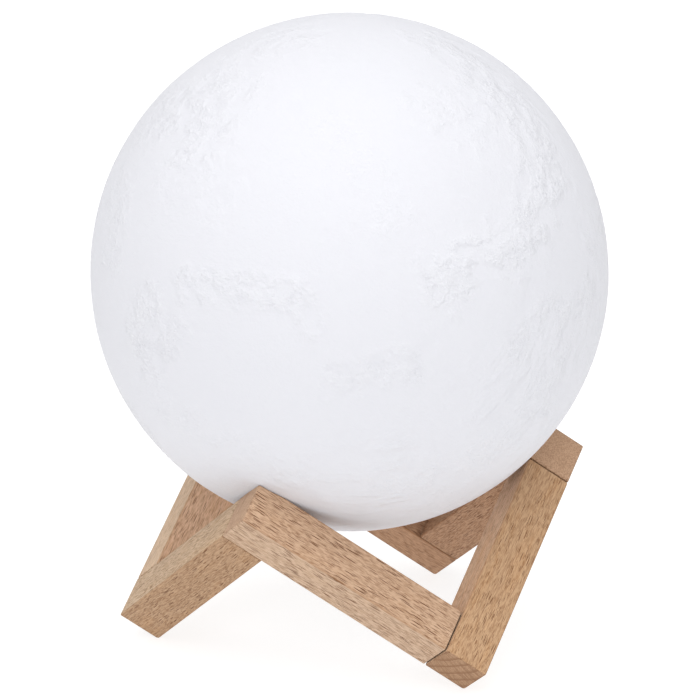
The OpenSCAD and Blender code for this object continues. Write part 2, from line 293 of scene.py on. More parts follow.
# stand: six beech bars along six edges of a cube that balances on one corner
stand = {"side": 13.6 * mm, "length": 70.4 * mm, "ease": 0.42 * mm, "footFlat": 0.6 * mm,
         "seatSink": 0.8 * mm, "seatGap": 0.2 * mm, "seatSides": 256}
barNear = (stand["length"] - stand["side"]) / 2  # from the cube's middle to a bar's inner side
barFar = barNear + stand["side"]
ringHeight = (barNear + 2 * stand["side"]) / math.sqrt(3) - stand["footFlat"]

# a bar's wood: sizes are in millimetres, shares go from 0 to 1, and each bar changes some of them
beech = {"half": 35.2, "halfSide": 6.8, "reach": 30.0, "ringWidth": 3.1, "sway": 1.3,
         "late": 0.16, "band": 0.4, "arcs": 0.6, "rays": 0.7, "grit": 0.6, "thread": 0.5,
         "canvas": 0.5, "warm": 0.35, "long": 0.7, "longHalf": 0.34, "poreGlint": 0.35, "short": 0.6,
         "shortHalf": 0.36, "sides": [], "butt": (1, 1, 1), "tint": colour(190, 156, 127)}
# what each pattern follows, its patches to a millimetre along and across, its detail, its own
# step, and the noise at which it starts and is full
patterns = {
    "patch": ("straight", (0.045, 0.12, 0.12), 2.0, 4.0, 0.38, 0.66),
    "warm": ("wavy", (0.06, 0.3, 0.3), 2.0, 21.0, 0.46, 0.66),
    "band": ("wavy", (0.025, 0.8, 0.8), 2.0, 9.0, 0.35, 0.68),
    "thread": ("wavy", (0.13, 3.2, 3.2), 2.0, 15.0, 0.34, 0.68),
    "canvas": ("straight", (0.5, 3.4, 3.4), 2.0, 2.0, 0.36, 0.64),
    "thick": ("wavy", (0.05, 0.3, 0.3), 1.0, 30.0, 0.3, 0.6),
    "ray": ("timber", (0.03, 3.4, 0.16), 1.0, 3.0, 0.46, 0.62),
    "grit": ("straight", (0.1, 3.2, 3.2), 3.0, 12.0, 0.42, 0.62),
    "chip": ("straight", (0.6, 0.9, 0.9), 3.0, 8.0, 0.5, 0.64)}
pores = {"long": ((0.16, 2.6, 2.6), 1.0), "short": ((0.33, 4.0, 4.0), 6.0)}  # patches and step
woodTones = {  # shares of the bar's own red, green and blue
    "pale": (1.06, 1.06, 1.06), "plain": (0.98, 0.95, 0.94), "warm": (1.0, 0.88, 0.74),
    "band": (0.84, 0.78, 0.73), "late": (0.8, 0.71, 0.64), "thread": (0.66, 0.57, 0.5),
    # the pale share at a pore's margin is a painted highlight
    "canvas": (1.4, 1.47, 1.54), "poreGlint": (1.3, 1.34, 1.4), "short": (0.43, 0.27, 0.16),
    "long": (0.25, 0.12, 0.05), "end": (1.0, 0.98, 0.97), "ray": (0.64, 0.56, 0.52),
    "arc": (0.56, 0.47, 0.42), "grit": (0.6, 0.52, 0.46), "edge": (0.8, 0.64, 0.5),
    # the near-black share is painted shade in the seams' gaps
    "joint": (0.03, 0.015, 0.01), "chip": (0.42, 0.3, 0.22)}
fades = {  # how far from a face, in millimetres, something starts and is full
    "side": (0.5, 0.1), "rim": (0.8, 0.1), "chip": (0.7, 0.3), "end": (0.16, 0.06),
    "edge": (0.6, 0.2), "joint": (0.3, 0.0)}


def closeTo(kind, reach, half):  # from 0 to 1 as a place comes close to a face
    start, full = fades[kind]
    return reach.over(half - start, half - full)


def beechPatterns(paint, grade, place):  # a mask from 0 to 1 for each thing that shows
    shift = grade["seed"] * 7.3

    def cloud(scale, detail=1.0, step=0.0, at=place):  # soft patches
        return paint.grain(paint.place(scale, (shift + step,) * 3, at), 1, detail)

    sway = cloud((0.035, 0.05, 0.05)).other(1)
    wavy = paint.place((0, grade["sway"], grade["sway"]), place, sway)
    along, across, deep = axes(paint, wavy)
    across = across - grade["pith"][0]
    deep = deep - grade["pith"][1]
    radius = (across * across + deep * deep) ** 0.5
    around = deep.turn(across) * grade["reach"]
    timber = paint.node("CombineXYZ", None, {0: along, 1: around, 2: radius})
    ways = {"straight": place, "wavy": wavy, "timber": timber}
    shown = {kind: cloud(scale, detail, step, ways[way]).over(low, high)
             for kind, (way, scale, detail, step, low, high) in patterns.items()}
    ring = (radius / grade["ringWidth"] + cloud((0.02, 0.1, 0.1)) * 0.8).part()
    shown["late"] = ring.over(0.5, 0.93) * (1 - ring.over(0.93, 1.0))

    def poreGap(kind):  # 0 in the middle of a slim pore along the grain, and 1 at its edge
        scale, step = pores[kind]
        at = paint.place(scale, (shift + step,) * 3, wavy)
        cell = paint.node("TexVoronoi", None, {"Vector": at, "Scale": 1.0})
        draw = axes(paint, cell.other(1))[0]
        return cell / ((0.45 + draw * 0.55) * grade[kind + "Half"])

    gap = poreGap("long")
    shown["long"] = (1 - gap.over(0.7, 1.05)) * (0.5 + shown["thick"] * 0.5)
    shown["poreGlint"] = gap.over(1.0, 1.2) * (1 - gap.over(1.3, 1.9))  # a painted highlight along a pore's margin
    shown["short"] = 1 - poreGap("short").over(0.7, 1.05)
    return shown, along


def beechPaint(name, grade):
    paint = Paint(name, Specular_IOR_Level=0.15)
    place = paint.node("Attribute", {"attribute_name": "grainPlace"}, out=1)
    shown, along = beechPatterns(paint, grade, place)
    tones = {kind: tinted(grade["tint"], *share) for kind, share in woodTones.items()}
    half, halfSide = grade["half"], grade["halfSide"]

    tone = paint.mix(shown["patch"], tones["pale"], tones["plain"])
    for kind in ("warm", "band", "late", "thread", "canvas", "poreGlint", "short", "long"):
        tone = paint.mix(shown[kind] * grade[kind], tone, tones[kind])
    spot = axes(paint, place)
    for axis, sign, tilt in grade["sides"]:  # a long side paler or browner than the others: partly the wood's own tone, partly painted light that lifts faces lying in shade
        there = closeTo("side", spot[axis] * sign, halfSide)
        tone = paint.mix(there, tone, paint.times(tone, tilt))

    butt = paint.mix(shown["ray"] * grade["rays"], tones["end"], tones["ray"])
    butt = paint.mix(shown["late"] * grade["arcs"], butt, tones["arc"])
    butt = paint.mix(shown["grit"] * grade["grit"], butt, tones["grit"])
    ends = closeTo("end", along.size(), half)
    # the bar's end shares tint its end grain: partly the wood's own tone, partly painted light on
    # ends that lie in shade
    tone = paint.mix(ends, tone, paint.times(butt, grade["butt"]))

    width, height = spot[1].size(), spot[2].size()
    edge = closeTo("edge", width, halfSide) * closeTo("edge", height, halfSide)
    tone = paint.mix(edge * 0.5, tone, tones["edge"])
    # the bar's hidden end is painted near black: painted shade in the seam's gap
    joint = closeTo("joint", along * -1, half - grade["seam"])
    dark = min(1, (grade["seam"] / 0.3) ** 2)  # only a wide seam shows its painted shade
    tone = paint.mix(joint * dark, tone, tones["joint"])
    rim = closeTo("rim", along.size(), half) * closeTo("chip", width.most(height), halfSide)
    chip = rim * shown["chip"]
    paint.set("Base Color", paint.mix(chip * 0.5, tone, tones["chip"]))
    dents = shown["long"] + shown["short"] * 0.5 + shown["thread"] * 0.4 + chip * 0.6
    paint.set("Normal", paint.bump(shown["canvas"] * 0.3 - dents, 0.12 * mm, 0.7))
    paint.set("Roughness", 0.56 + shown["thread"] * 0.14 + ends * 0.15)
    return paint.material


# each bar's name, node, turn about the stand's axis, whether it falls, seam in mm, and its grain
# a bar's shares for its sides and its end are partly painted light, lifting faces that lie in shade
bars = [
    ("frontBar", "front_bar", 0, False, 0.40,
     {"pith": (-10, -44), "seed": 2.0, "longHalf": 0.42, "long": 1.0, "short": 0.8, "arcs": 0.15,
      "rays": 0.5, "canvas": 0.6, "tint": colour(190, 157, 129),
      "sides": [(2, -1, (1.04, 1.12, 1.19))], "butt": (1.17, 1.23, 1.3)}),
    ("frontRightBar", "front_right_bar", 0, True, 0.25,
     {"pith": (-36, -16), "seed": 5.3, "arcs": 0.8, "warm": 0.9, "long": 0.8,
      "short": 0.7, "tint": colour(185, 150, 116),
      "sides": [(1, -1, (1.28, 1.34, 1.5))], "butt": (0.99, 1.0, 1.08)}),
    ("backRightBar", "back_right_bar", 120, False, 0.30,
     {"pith": (-30, 26), "seed": 8.9, "arcs": 0.0, "rays": 0.2, "thread": 0.7, "short": 0.7,
      "long": 0.8, "canvas": 0.7, "band": 0.8, "tint": colour(165, 129, 101),
      "butt": (1.49, 1.67, 1.84)}),
    ("backBar", "back_bar", 120, True, 0.10,
     {"pith": (14, -40), "seed": 12.2, "thread": 0.7, "short": 0.7, "long": 0.8, "canvas": 0.7,
      "band": 0.8, "tint": colour(172, 135, 106)}),
    ("backLeftBar", "back_left_bar", 240, False, 0.15,
     {"pith": (-30, -30), "seed": 15.8, "warm": 0.7, "tint": colour(209, 174, 144),
      "sides": [(1, 1, (1.0, 1.1, 1.15))]}),
    ("frontLeftBar", "front_left_bar", 240, True, 0.05,
     {"pith": (-6, -46), "seed": 19.4, "warm": 0.9, "sway": 2.6, "late": 0.4, "thread": 0.7,
      "band": 0.9, "long": 0.9, "short": 0.7, "shortHalf": 0.38, "tint": colour(176, 144, 114),
      "sides": [(2, -1, (1.34, 1.51, 1.66))]}),
]


def barFrame(turn, falling):  # the cube's axes point up, and a falling bar mirrors a rising one
    cube = Matrix.Rotation(math.pi, 4, "Z") @ Matrix.Rotation(-math.atan(math.sqrt(0.5)), 4, "Y")
    cube = cube @ Matrix.Rotation(math.pi / 4, 4, "X")
    flip = Matrix.Identity(4)
    if falling:
        flip = Matrix.Rotation(math.radians(60), 4, "Z") @ Matrix.Scale(-1, 4, (0, 0, 1))
    lift = Matrix.Translation((0, 0, ringHeight))
    return lift @ Matrix.Rotation(math.radians(turn), 4, "Z") @ flip @ cube


def makeBar(name, node, turn, falling, seam, grain):
    grade = {**beech, **grain, "seam": seam}
    side = stand["side"]
    length = stand["length"] - seam * mm
    bpy.ops.object.select_all(action="DESELECT")
    bpy.ops.mesh.primitive_cube_add(size=1, scale=(length, side, side))
    bar = bpy.context.object
    bar.location = ((length - stand["length"]) / -2, 0, 0)
    settle(bar)
    finishWith(bar, "BEVEL", width=stand["ease"], segments=4, limit_method="NONE")
    faceOut(bar)
    between = (barNear + barFar) / 2
    middle = Matrix.Translation((barFar - stand["length"] / 2, between, -between))
    matrix = barFrame(turn, falling) @ middle
    bar.data.transform(matrix)
    if falling:
        bar.data.flip_normals()
        cutBelow(bar, 0, fill=True)
    else:
        cutSeat(bar)
    storeGrain(bar, matrix.inverted())
    smooth(bar, 40)
    dress(bar, name, "stand", beechPaint(name, grade), [node])


def cutSeat(bar):
    bpy.ops.object.select_all(action="DESELECT")
    bpy.ops.mesh.primitive_uv_sphere_add(
        segments=stand["seatSides"], ring_count=stand["seatSides"] // 2,
        radius=globe["radius"] + stand["seatGap"], location=(0, 0, globeHeight))
    ball = bpy.context.object
    settle(ball)
    finishWith(bar, "BOOLEAN", object=ball, operation="DIFFERENCE", solver="EXACT")
    bpy.data.objects.remove(ball)


def storeGrain(bar, inverse):  # each point's place within its own bar, in millimetres
    layer = bar.data.attributes.new("grainPlace", "FLOAT_VECTOR", "POINT")
    for v, store in zip(bar.data.vertices, layer.data):
        store.vector = inverse @ v.co / mm


# globe: an even sphere whose relief is painted as a vertex weight, then pushed out by it
globe = {"radius": 75 * mm, "wall": 1.8 * mm, "neck": 20.3 * mm, "neckWall": 2 * mm,
         "neckHeight": 8.6 * mm}
mouthDrop = math.sqrt(globe["radius"] ** 2 - (globe["neck"] + globe["neckWall"]) ** 2)


def restHeight():  # where the globe's middle is when the globe lies in the three seats
    lean = 2 * barFar - barNear
    rest = 2 * barFar * barFar + barNear * barNear - (globe["radius"] - stand["seatSink"]) ** 2
    return ringHeight + (lean + math.sqrt(lean * lean - 3 * rest)) / math.sqrt(3)


globeHeight = restHeight()
plains = [  # azimuth, elevation and radius in degrees of the moon's smooth plains, and how sunk
    (-58, 30, 8, 0.7), (-53, 6, 11, 0.6), (-95, 21, 16, 0.35), (-119, -7, 13, 0.6),
    (-87, 2, 8, 0.4), (-93, 68, 13, 0.4), (-27, -20, 10, 0.5), (0, 12, 14, 0.8),
    (28, 34, 10, 0.9), (52, -4, 16, 0.7), (92, 20, 19, 0.8), (125, -18, 12, 0.7),
    (150, 30, 15, 0.9), (178, 2, 11, 0.6), (-70, -38, 8, 0.4),
    (60, 62, 10, 0.7), (110, -46, 9, 0.6), (10, -48, 8, 0.6)]
belts = [  # how rugged and how wide in degrees each rugged belt is, and the way it runs
    (0.95, 9, [(-24, 67), (-30, 48), (-34, 31)]), (0.55, 8, [(-53, 45), (-63, 51)]),
    (1.0, 6, [(-40, 26), (-50, 18), (-67, 17), (-73, 11)]),
    (0.8, 4, [(-26, 15), (-26, 7), (-32, -1), (-48, 1), (-56, -5)]),
    (0.55, 7, [(-42, -8), (-45, -21), (-65, -38), (-83, -36)]),
    (0.75, 5, [(-80, -5), (-96, -8)]), (0.6, 3, [(-77, 16), (-76, 12)]),
    (0.9, 4, [(-131, 10), (-120, 11), (-103, 10), (-102, 5)]),
    (0.85, 4, [(-141, 5), (-147, -4), (-144, -12), (-134, 0)]),
    (0.6, 6, [(-170, 36), (-166, 26), (-160, 12)]),
    (0.85, 9, [(-171, 43), (-156, 48), (-145, 54), (-141, 42)]),
    (0.6, 9, [(-160, 62), (-152, 74)]), (0.6, 6, [(-140, -21), (-129, -26), (-109, -33)]),
    (0.35, 5, [(-84, 28), (-94, 46), (-103, 48)]), (0.35, 8, [(-145, 33), (-129, 31)])]
folds = [  # height in millimetres and width in degrees of long ridges and furrows, and their way
    (-0.10, 1.4, [(-42, 35), (-44, 29), (-50, 24)]),
    (0.10, 1.8, [(-36, 32), (-34, 25), (-41, 20), (-50, 18), (-60, 18), (-68, 16)]),
    (0.08, 1.6, [(-29, 2), (-35, -5)]), (-0.10, 1.3, [(-28, 17), (-30, 14)]),
    (-0.10, 1.5, [(-50, 9), (-54, 3), (-58, -2), (-55, -6)]),
    (0.08, 1.6, [(-40, -6), (-47, -8)]), (0.08, 1.8, [(-57, -12), (-60, -22), (-68, -28)]),
    (0.08, 1.8, [(-44, -29), (-50, -38), (-63, -42)]),
    (-0.09, 1.3, [(-74, 2), (-82, -5), (-89, -4), (-99, -5)]),
    (0.12, 1.6, [(-141, 5), (-151, -6), (-149, -14), (-147, -18)]),
    (-0.10, 1.4, [(-141, -1), (-139, -10)]), (-0.10, 1.4, [(-87, -38), (-79, -32)]),
    (-0.09, 1.4, [(-133, -36), (-108, -34)]), (-0.06, 1.0, [(-89, 21), (-85, 19)]),
    (-0.08, 1.2, [(-104, 10), (-101, 4)]), (-0.07, 1.1, [(-76, 12), (-75, 10)])]
moon = {"cuts": 87, "innerCuts": 22, "base": 0.62, "span": 0.85 * mm, "seed": 11, "most": 0.15,
        "craters": 1500, "smallest": 1.0, "largest": 5.5, "sink": 0.1, "rim": 0.02,
        "rugged": 0.33, "fold": 1.4, "streakCentre": (-90, 14), "streakLean": 148,
        "streakReach": (22, 45, 76, 90), "hiddenBelts": 34, "calm": 5.0, "wayStep": 1.2,
        "photoSide": (-94, 17, 92), "bends": ((0.07, 5.0), (0.3, 1.4))}


def onSphere(azimuth, elevation):
    a = math.radians(azimuth)
    e = math.radians(elevation)
    return Vector((math.cos(a) * math.cos(e), math.sin(a) * math.cos(e), math.sin(e)))


def ramp(low, high, value):  # 0 below low, 1 above high, smooth between
    t = min(1.0, max(0.0, (value - low) / (high - low)))
    return t * t * (3 - 2 * t)


def moonGround(way, radius, rugged):  # height in millimetres of the ground in one direction
    spot = way * radius
    broad, fine = (noise.noise_vector(spot * scale) * reach for scale, reach in moon["bends"])
    bent = spot + broad + fine  # outlines waver
    aim = bent.normalized()
    height = 0.0
    for azimuth, elevation, size, sunk in plains:
        gap = math.degrees(aim.angle(onSphere(azimuth, elevation))) - size
        if gap < 6:
            height -= moon["sink"] * sunk * (1 - ramp(-3, 1.5, gap))
            height += moon["rim"] * sunk * math.exp(-((gap - 0.9) / 1.1) ** 2)
    grain = noise.ridged_multi_fractal(bent * 0.26, 0.8, 2.1, 3, 0.9, 2.0)
    height += moon["rugged"] * (grain - 1.1) * (0.1 + 0.9 * rugged)
    return height + 0.1 * noise.fractal(spot * 0.035, 1.0, 2.0, 3)


def nearWay(tree, radius, stops, reach):  # the vertices beside a way over the sphere, with gaps
    nearest = {}
    for start, end in zip(stops, stops[1:]):
        a, b = onSphere(*start), onSphere(*end)
        steps = max(1, round(math.degrees(a.angle(b)) / moon["wayStep"]))
        for step in range(steps + 1):
            spot = a.lerp(b, step / steps).normalized() * radius
            for _, i, gap in tree.find_range(spot, reach):
                nearest[i] = min(gap, nearest.get(i, reach))
    return nearest


def hiddenBelts(draw):  # rugged belts for the side that the photo doesn't show
    made = []
    azimuth, elevation, reach = moon["photoSide"]
    while len(made) < moon["hiddenBelts"]:
        start = (draw.uniform(-180, 180), math.degrees(math.asin(draw.uniform(-0.9, 1))))
        stops = [start, (start[0] + draw.uniform(-22, 22), start[1] + draw.uniform(-16, 16))]
        if onSphere(*start).angle(onSphere(azimuth, elevation)) > math.radians(reach):
            made.append((draw.uniform(0.4, 1.0), draw.uniform(4, 10), stops))
    return made


def ruggedLand(ways, radius, tree):  # how rugged the ground is at each vertex, from 0 to 1
    degree = math.radians(1) * radius
    rugged = [0.0] * len(ways)
    for share, wide, stops in belts + hiddenBelts(random.Random(moon["seed"])):
        reach = wide * 1.4 * degree
        for i, gap in nearWay(tree, radius, stops, reach).items():
            torn = gap / reach + 0.5 * noise.noise(ways[i] * radius * 0.16)
            rugged[i] = max(rugged[i], share * (1 - ramp(0.35, 1.0, max(torn, gap / reach - 0.1))))
    return [share * ramp(-0.5, 0.15, noise.noise(way * radius * 0.2))
            for share, way in zip(rugged, ways)]


def layFolds(heights, ways, radius, tree):
    degree = math.radians(1) * radius
    for rise, wide, stops in folds:
        width = wide * degree
        for i, gap in nearWay(tree, radius, stops, width * 3).items():
            bent = gap + noise.noise(ways[i] * radius * 0.25) * width
            heights[i] += moon["fold"] * rise * math.exp(-(bent / width) ** 2)


def streakPlaces(ways):  # gap in degrees and turn round one place, and where long streaks show
    centre = onSphere(*moon["streakCentre"])
    across = Vector((0, 0, 1)).cross(centre).normalized()
    lean = math.radians(moon["streakLean"])
    up = across * math.sin(lean) + centre.cross(across) * math.cos(lean)
    right = up.cross(centre)
    start, full, fade, end = moon["streakReach"]
    places = []
    for way in ways:
        gap = math.degrees(way.angle(centre))
        turn = math.atan2(way.dot(right), way.dot(up))  # 0 is the middle of the streaks
        side = ramp(0.15, 0.95, math.cos(turn))
        places.append((gap, turn, ramp(start, full, gap) * (1 - ramp(fade, end, gap)) * side))
    return places


def craterShape(t, deep):  # a bowl, its raised rim at t = 1 and the apron beyond it
    bowl = -deep * (1 - ramp(0.25, 0.95, t))
    rim = 0.42 * deep * math.exp(-((t - 1.0) / 0.16) ** 2)
    return bowl + rim + 0.1 * deep * math.exp(-max(0.0, t - 1) * 3.0)


def moonHeights(ways, radius):
    tree = kdtree.KDTree(len(ways))
    for i, way in enumerate(ways):
        tree.insert(way * radius, i)
    tree.balance()
    ruggeds = ruggedLand(ways, radius, tree)
    heights = [moonGround(way, radius, rugged) for way, rugged in zip(ways, ruggeds)]
    layFolds(heights, ways, radius, tree)
    draw = random.Random(moon["seed"])
    for _ in range(moon["craters"]):
        way = onSphere(draw.uniform(-180, 180), math.degrees(math.asin(draw.uniform(-1, 1))))
        size = moon["smallest"] * (1 - draw.random() * 0.985) ** -0.45
        size = min(size, moon["largest"])
        keep = draw.random()
        found = tree.find(way * radius)[1]
        if keep > 0.06 + ruggeds[found]:  # the smooth ground keeps few of them
            continue
        deep = 0.06 * size ** 0.75 * draw.uniform(0.5, 1.1)
        for _, i, gap in tree.find_range(way * radius, size * 2):
            heights[i] += craterShape(gap / size, deep)
    most = moon["most"]  # nothing stands out further than the seats allow
    return [min(h, most * (1 - math.exp(-max(h, 0) / most))) for h in heights], ruggeds


def keepWeights(piece, name, values):  # a weight for the modifiers and a shade for the material
    values = [min(1.0, max(0.0, value)) for value in values]
    group = piece.vertex_groups.new(name=name)
    for i, value in enumerate(values):
        group.add([i], value, "REPLACE")
    layer = piece.data.attributes.new(name + "Shade", "FLOAT", "POINT")
    layer.data.foreach_set("value", values)


def evenSphere(radius, cuts):
    bpy.ops.object.select_all(action="DESELECT")
    bpy.ops.mesh.primitive_ico_sphere_add(subdivisions=1, radius=radius)
    ball = bpy.context.object
    edit(ball)
    bpy.ops.mesh.select_all(action="SELECT")
    bpy.ops.mesh.subdivide(number_cuts=cuts)
    done()
    finishWith(ball, "CAST", cast_type="SPHERE", factor=1.0, use_radius_as_size=False,
               size=radius, radius=0.0)
    return ball


def makeGlobe():
    radius = globe["radius"] / mm
    ball = evenSphere(globe["radius"], moon["cuts"])
    ways = [v.co.normalized() for v in ball.data.vertices]
    noise.seed_set(moon["seed"])  # otherwise the clock sets it, and no two runs are alike
    heights, ruggeds = moonHeights(ways, radius)
    print("moon ground painted")
    edge = math.degrees(math.asin(mouthDrop / globe["radius"])) - moon["calm"]
    span = moon["span"] / mm
    for i, way in enumerate(ways):  # the ground calms down to the plain sphere round the mouth
        calm = ramp(0, moon["calm"], edge + math.degrees(math.asin(way.z)))
        heights[i] = moon["base"] + calm * heights[i] / span
        ruggeds[i] *= calm
    keepWeights(ball, "relief", heights)
    keepWeights(ball, "rugged", ruggeds)
    layer = ball.data.attributes.new("streakPlace", "FLOAT_VECTOR", "POINT")
    layer.data.foreach_set("vector", [c for place in streakPlaces(ways) for c in place])
    finishWith(ball, "DISPLACE", strength=moon["span"], mid_level=0.0, vertex_group="relief")
    base = moon["base"] * moon["span"]
    shrink = globe["radius"] / (globe["radius"] + base)
    ball.scale = (shrink,) * 3
    settle(ball)
    cutBelow(ball, -mouthDrop)
    closeNeck(ball)
    ball.location = (0, 0, globeHeight)
    settle(ball)
    smooth(ball, 60)
    dress(ball, "moonGlobe", "globe", moonPaint(), ["moon_shell"])


def closeNeck(ball):  # lip, neck and inner wall
    neck = globe["neck"]
    outer = neck + globe["neckWall"]
    innerRadius = globe["radius"] - globe["wall"]
    innerDrop = math.sqrt(innerRadius ** 2 - outer ** 2)
    lining = evenSphere(innerRadius, moon["innerCuts"])
    cutBelow(lining, -innerDrop)
    lining.data.flip_normals()
    edit(ball)
    pick(ball, lambda p: abs(p.z + mouthDrop) < slack)
    steps = [(neck / outer, 0), (1, globe["neckHeight"]), (outer / neck, 0),
             (1, mouthDrop - globe["neckHeight"] - innerDrop)]  # how much wider, how much higher
    for grow, rise in steps:
        bpy.ops.mesh.extrude_region_move()
        bpy.ops.transform.resize(value=(grow, grow, 1), center_override=(0, 0, 0))
        bpy.ops.transform.translate(value=(0, 0, rise))
    done()
    only(ball)
    lining.select_set(True)
    bpy.ops.object.join()
    edit(ball)
    bpy.ops.mesh.select_mode(type="EDGE")
    bpy.ops.mesh.select_non_manifold(extend=False, use_wire=False, use_multi_face=False,
                                     use_non_contiguous=False, use_verts=False)
    bpy.ops.mesh.bridge_edge_loops()
    done()
    faceOut(ball)


# the bright tone is painted light that lifts rugged ground against its bump shade
moonTones = {"white": (0.74, 0.743, 0.784, 1), "bright": (0.77, 0.773, 0.814, 1),
             # the darkest tone is painted shade in the pits, and the colour of the dust specks
             "shadeAndDust": (0.676, 0.68, 0.73, 1)}


def moonPaint():
    paint = Paint("moonPrint", Roughness=0.62, Specular_IOR_Level=0.3, Subsurface_Weight=0.25,
                  Subsurface_Scale=2 * mm, Subsurface_Radius=(1, 1, 1))
    rugged = paint.node("Attribute", {"attribute_name": "ruggedShade"}, out=2)
    height = paint.node("Attribute", {"attribute_name": "reliefShade"}, out=2)
    gap, turn, band = axes(paint, paint.node("Attribute", {"attribute_name": "streakPlace"}, out=1))
    wobble = paint.grain(paint.place(), 30, 2)
    streaky = paint.node("CombineXYZ", None, {0: gap * 0.42 + wobble * 6, 1: turn * 5})
    streak = paint.grain(streaky, 1, 2)
    band = band * paint.grain(paint.place((1, 1, 1), (2, 8, 5)), 55, 2).over(0.38, 0.62)
    crumb = paint.grain(paint.place(), 520, 4, 0.62)
    dust = paint.grain(paint.place((1, 1, 1), (3, 1, 2)), 1500, 2)
    rough = 0.24 + rugged * 1.35
    # low ground and hollows of the fine relief are painted darker: painted shade in the pits
    pitShade = (1 - height.over(0.25, 0.62)) * 0.8 + rugged * (1 - crumb.over(0.3, 0.55)) * 0.3
    ground = paint.mix(rugged, moonTones["white"], moonTones["bright"])  # rugged ground is painted lighter: painted light that offsets the shade of its own bumps
    tone = paint.mix(pitShade * 0.22, ground, moonTones["shadeAndDust"])
    specks = dust.over(0.62, 0.74) * rugged * 0.25
    paint.set("Base Color", paint.mix(specks, tone, moonTones["shadeAndDust"]))
    grainy = crumb * rough + dust * 0.12 + streak * band * 1.8
    paint.set("Normal", paint.bump(grainy, 0.7 * mm, 0.9))
    return paint.material


# base unit: its sizes are in millimetres, heights are measured up from the top of the cap's
# floor, and a root is where something starts inside that floor
capSizes = {"radius": 20.1, "floor": 2.4, "rim": 0.6, "grooveOut": 18.65, "grooveIn": 15.55,
            "grooveDeep": 0.8, "spigot": (18.0, 16.8, 3.0), "postPlace": 12.0, "postRadius": 2.2,
            "postTop": 4.6, "postAngles": (90, 210, 330), "postHole": 0.8, "postHoleLow": 1.2,
            "root": -0.6, "edge": 0.12, "edgeAngle": 50, "sides": 128}
ringSizes = {"middle": 17.1, "wide": 3.0, "thick": 1.2, "low": -2.8, "edge": 0.32, "steps": 160,
             "pinPlace": -16.1, "pinRadius": 0.5, "pinTop": 1.6, "pinRound": 0.15, "pinHole": 0.6}
screwSizes = {"place": 13.2, "angles": (30, 150, 270), "head": 1.9, "headLow": -2.2,
              "headTop": -0.9, "headRound": 0.6, "slot": (2.3, 0.45, 0.7), "shank": 1.05,
              "tip": 6.0, "tipRound": 0.4, "sink": 2.1, "hole": 1.2}
socketSizes = {"wide": 7.5, "thick": 2.6, "cut": 0.95, "corner": 0.4, "wall": 0.3, "low": -2.1,
               "top": 4.6, "room": 0.3, "edge": 0.08, "edgeAngle": 60, "tongue": (3.8, 0.7, 4.5),
               "tongueAt": 0.25, "tongueLow": -1.5, "tongueBase": 2.5, "tongueEdge": 0.12}
pipeSizes = {"place": 8.0, "radius": 1.2, "low": -2.4, "top": 3.4, "flange": (1.8, 1.0),
             "lowRound": 0.3, "topRound": 0.15}
baseHeight = globeHeight - mouthDrop + 2.2 * mm
through = (-3, 1)  # the lowest and highest point of what cuts through the cap's floor
bite = 0.02  # how far welded pieces run into each other, and what a press fit leaves


def drum(radius, low, high, at=(0, 0), sides=64):  # a round blank, sizes in millimetres
    bpy.ops.object.select_all(action="DESELECT")
    bpy.ops.mesh.primitive_cylinder_add(vertices=sides, radius=radius * mm,
        depth=(high - low) * mm, location=(at[0] * mm, at[1] * mm, (low + high) / 2 * mm))
    settle(bpy.context.object)
    return bpy.context.object


def block(size, low, at=(0, 0)):
    bpy.ops.object.select_all(action="DESELECT")
    bpy.ops.mesh.primitive_cube_add(size=mm, scale=size,
        location=(at[0] * mm, at[1] * mm, (low + size[2] / 2) * mm))
    settle(bpy.context.object)
    return bpy.context.object


def combine(piece, other, operation="DIFFERENCE"):
    finishWith(piece, "BOOLEAN", object=other, operation=operation, solver="EXACT")
    bpy.data.objects.remove(other)


def rounded(radius, angle):  # a place on a circle
    a = math.radians(angle)
    return (radius * math.cos(a), radius * math.sin(a))


def pickFaces(piece, test):  # selects the faces whose middle and normal pass the test
    bpy.ops.mesh.select_mode(type="FACE")
    bpy.ops.mesh.select_all(action="DESELECT")
    bpy.ops.object.mode_set(mode="OBJECT")
    for face in piece.data.polygons:
        face.select = bool(test(face.center / mm, face.normal))
    bpy.ops.object.mode_set(mode="EDIT")


def easeRim(piece, height, width, segments=4):  # rounds the edges that lie at one height
    edit(piece)
    pick(piece, lambda p: abs(p.z - height * mm) < slack)
    bpy.ops.mesh.bevel(offset=width * mm, segments=segments, affect="EDGES")
    done()


def easeEdges(piece, width, degrees=30):  # rounds all edges that are sharper
    finishWith(piece, "BEVEL", width=width * mm, segments=2, limit_method="ANGLE",
               angle_limit=math.radians(degrees))


def copyRound(piece, place, angles):  # copies a piece round the lamp's axis as one mesh
    copies = []
    for angle in angles:
        only(piece)
        bpy.ops.object.duplicate()
        copy = bpy.context.object
        copy.location = [c * mm for c in rounded(place, angle)] + [0]
        copy.rotation_euler.z = math.radians(angle)
        settle(copy)
        copies.append(copy)
    bpy.data.objects.remove(piece)
    return weld(copies)


def weld(pieces):
    only(pieces[0])
    for piece in pieces[1:]:
        piece.select_set(True)
    bpy.ops.object.join()
    return pieces[0]


def raiseBase(piece, name, material, slot, *nodes):  # from the base unit's floor to its place
    piece.location.z = baseHeight
    settle(piece)
    smooth(piece)
    dress(piece, name, "globe", material, nodes)


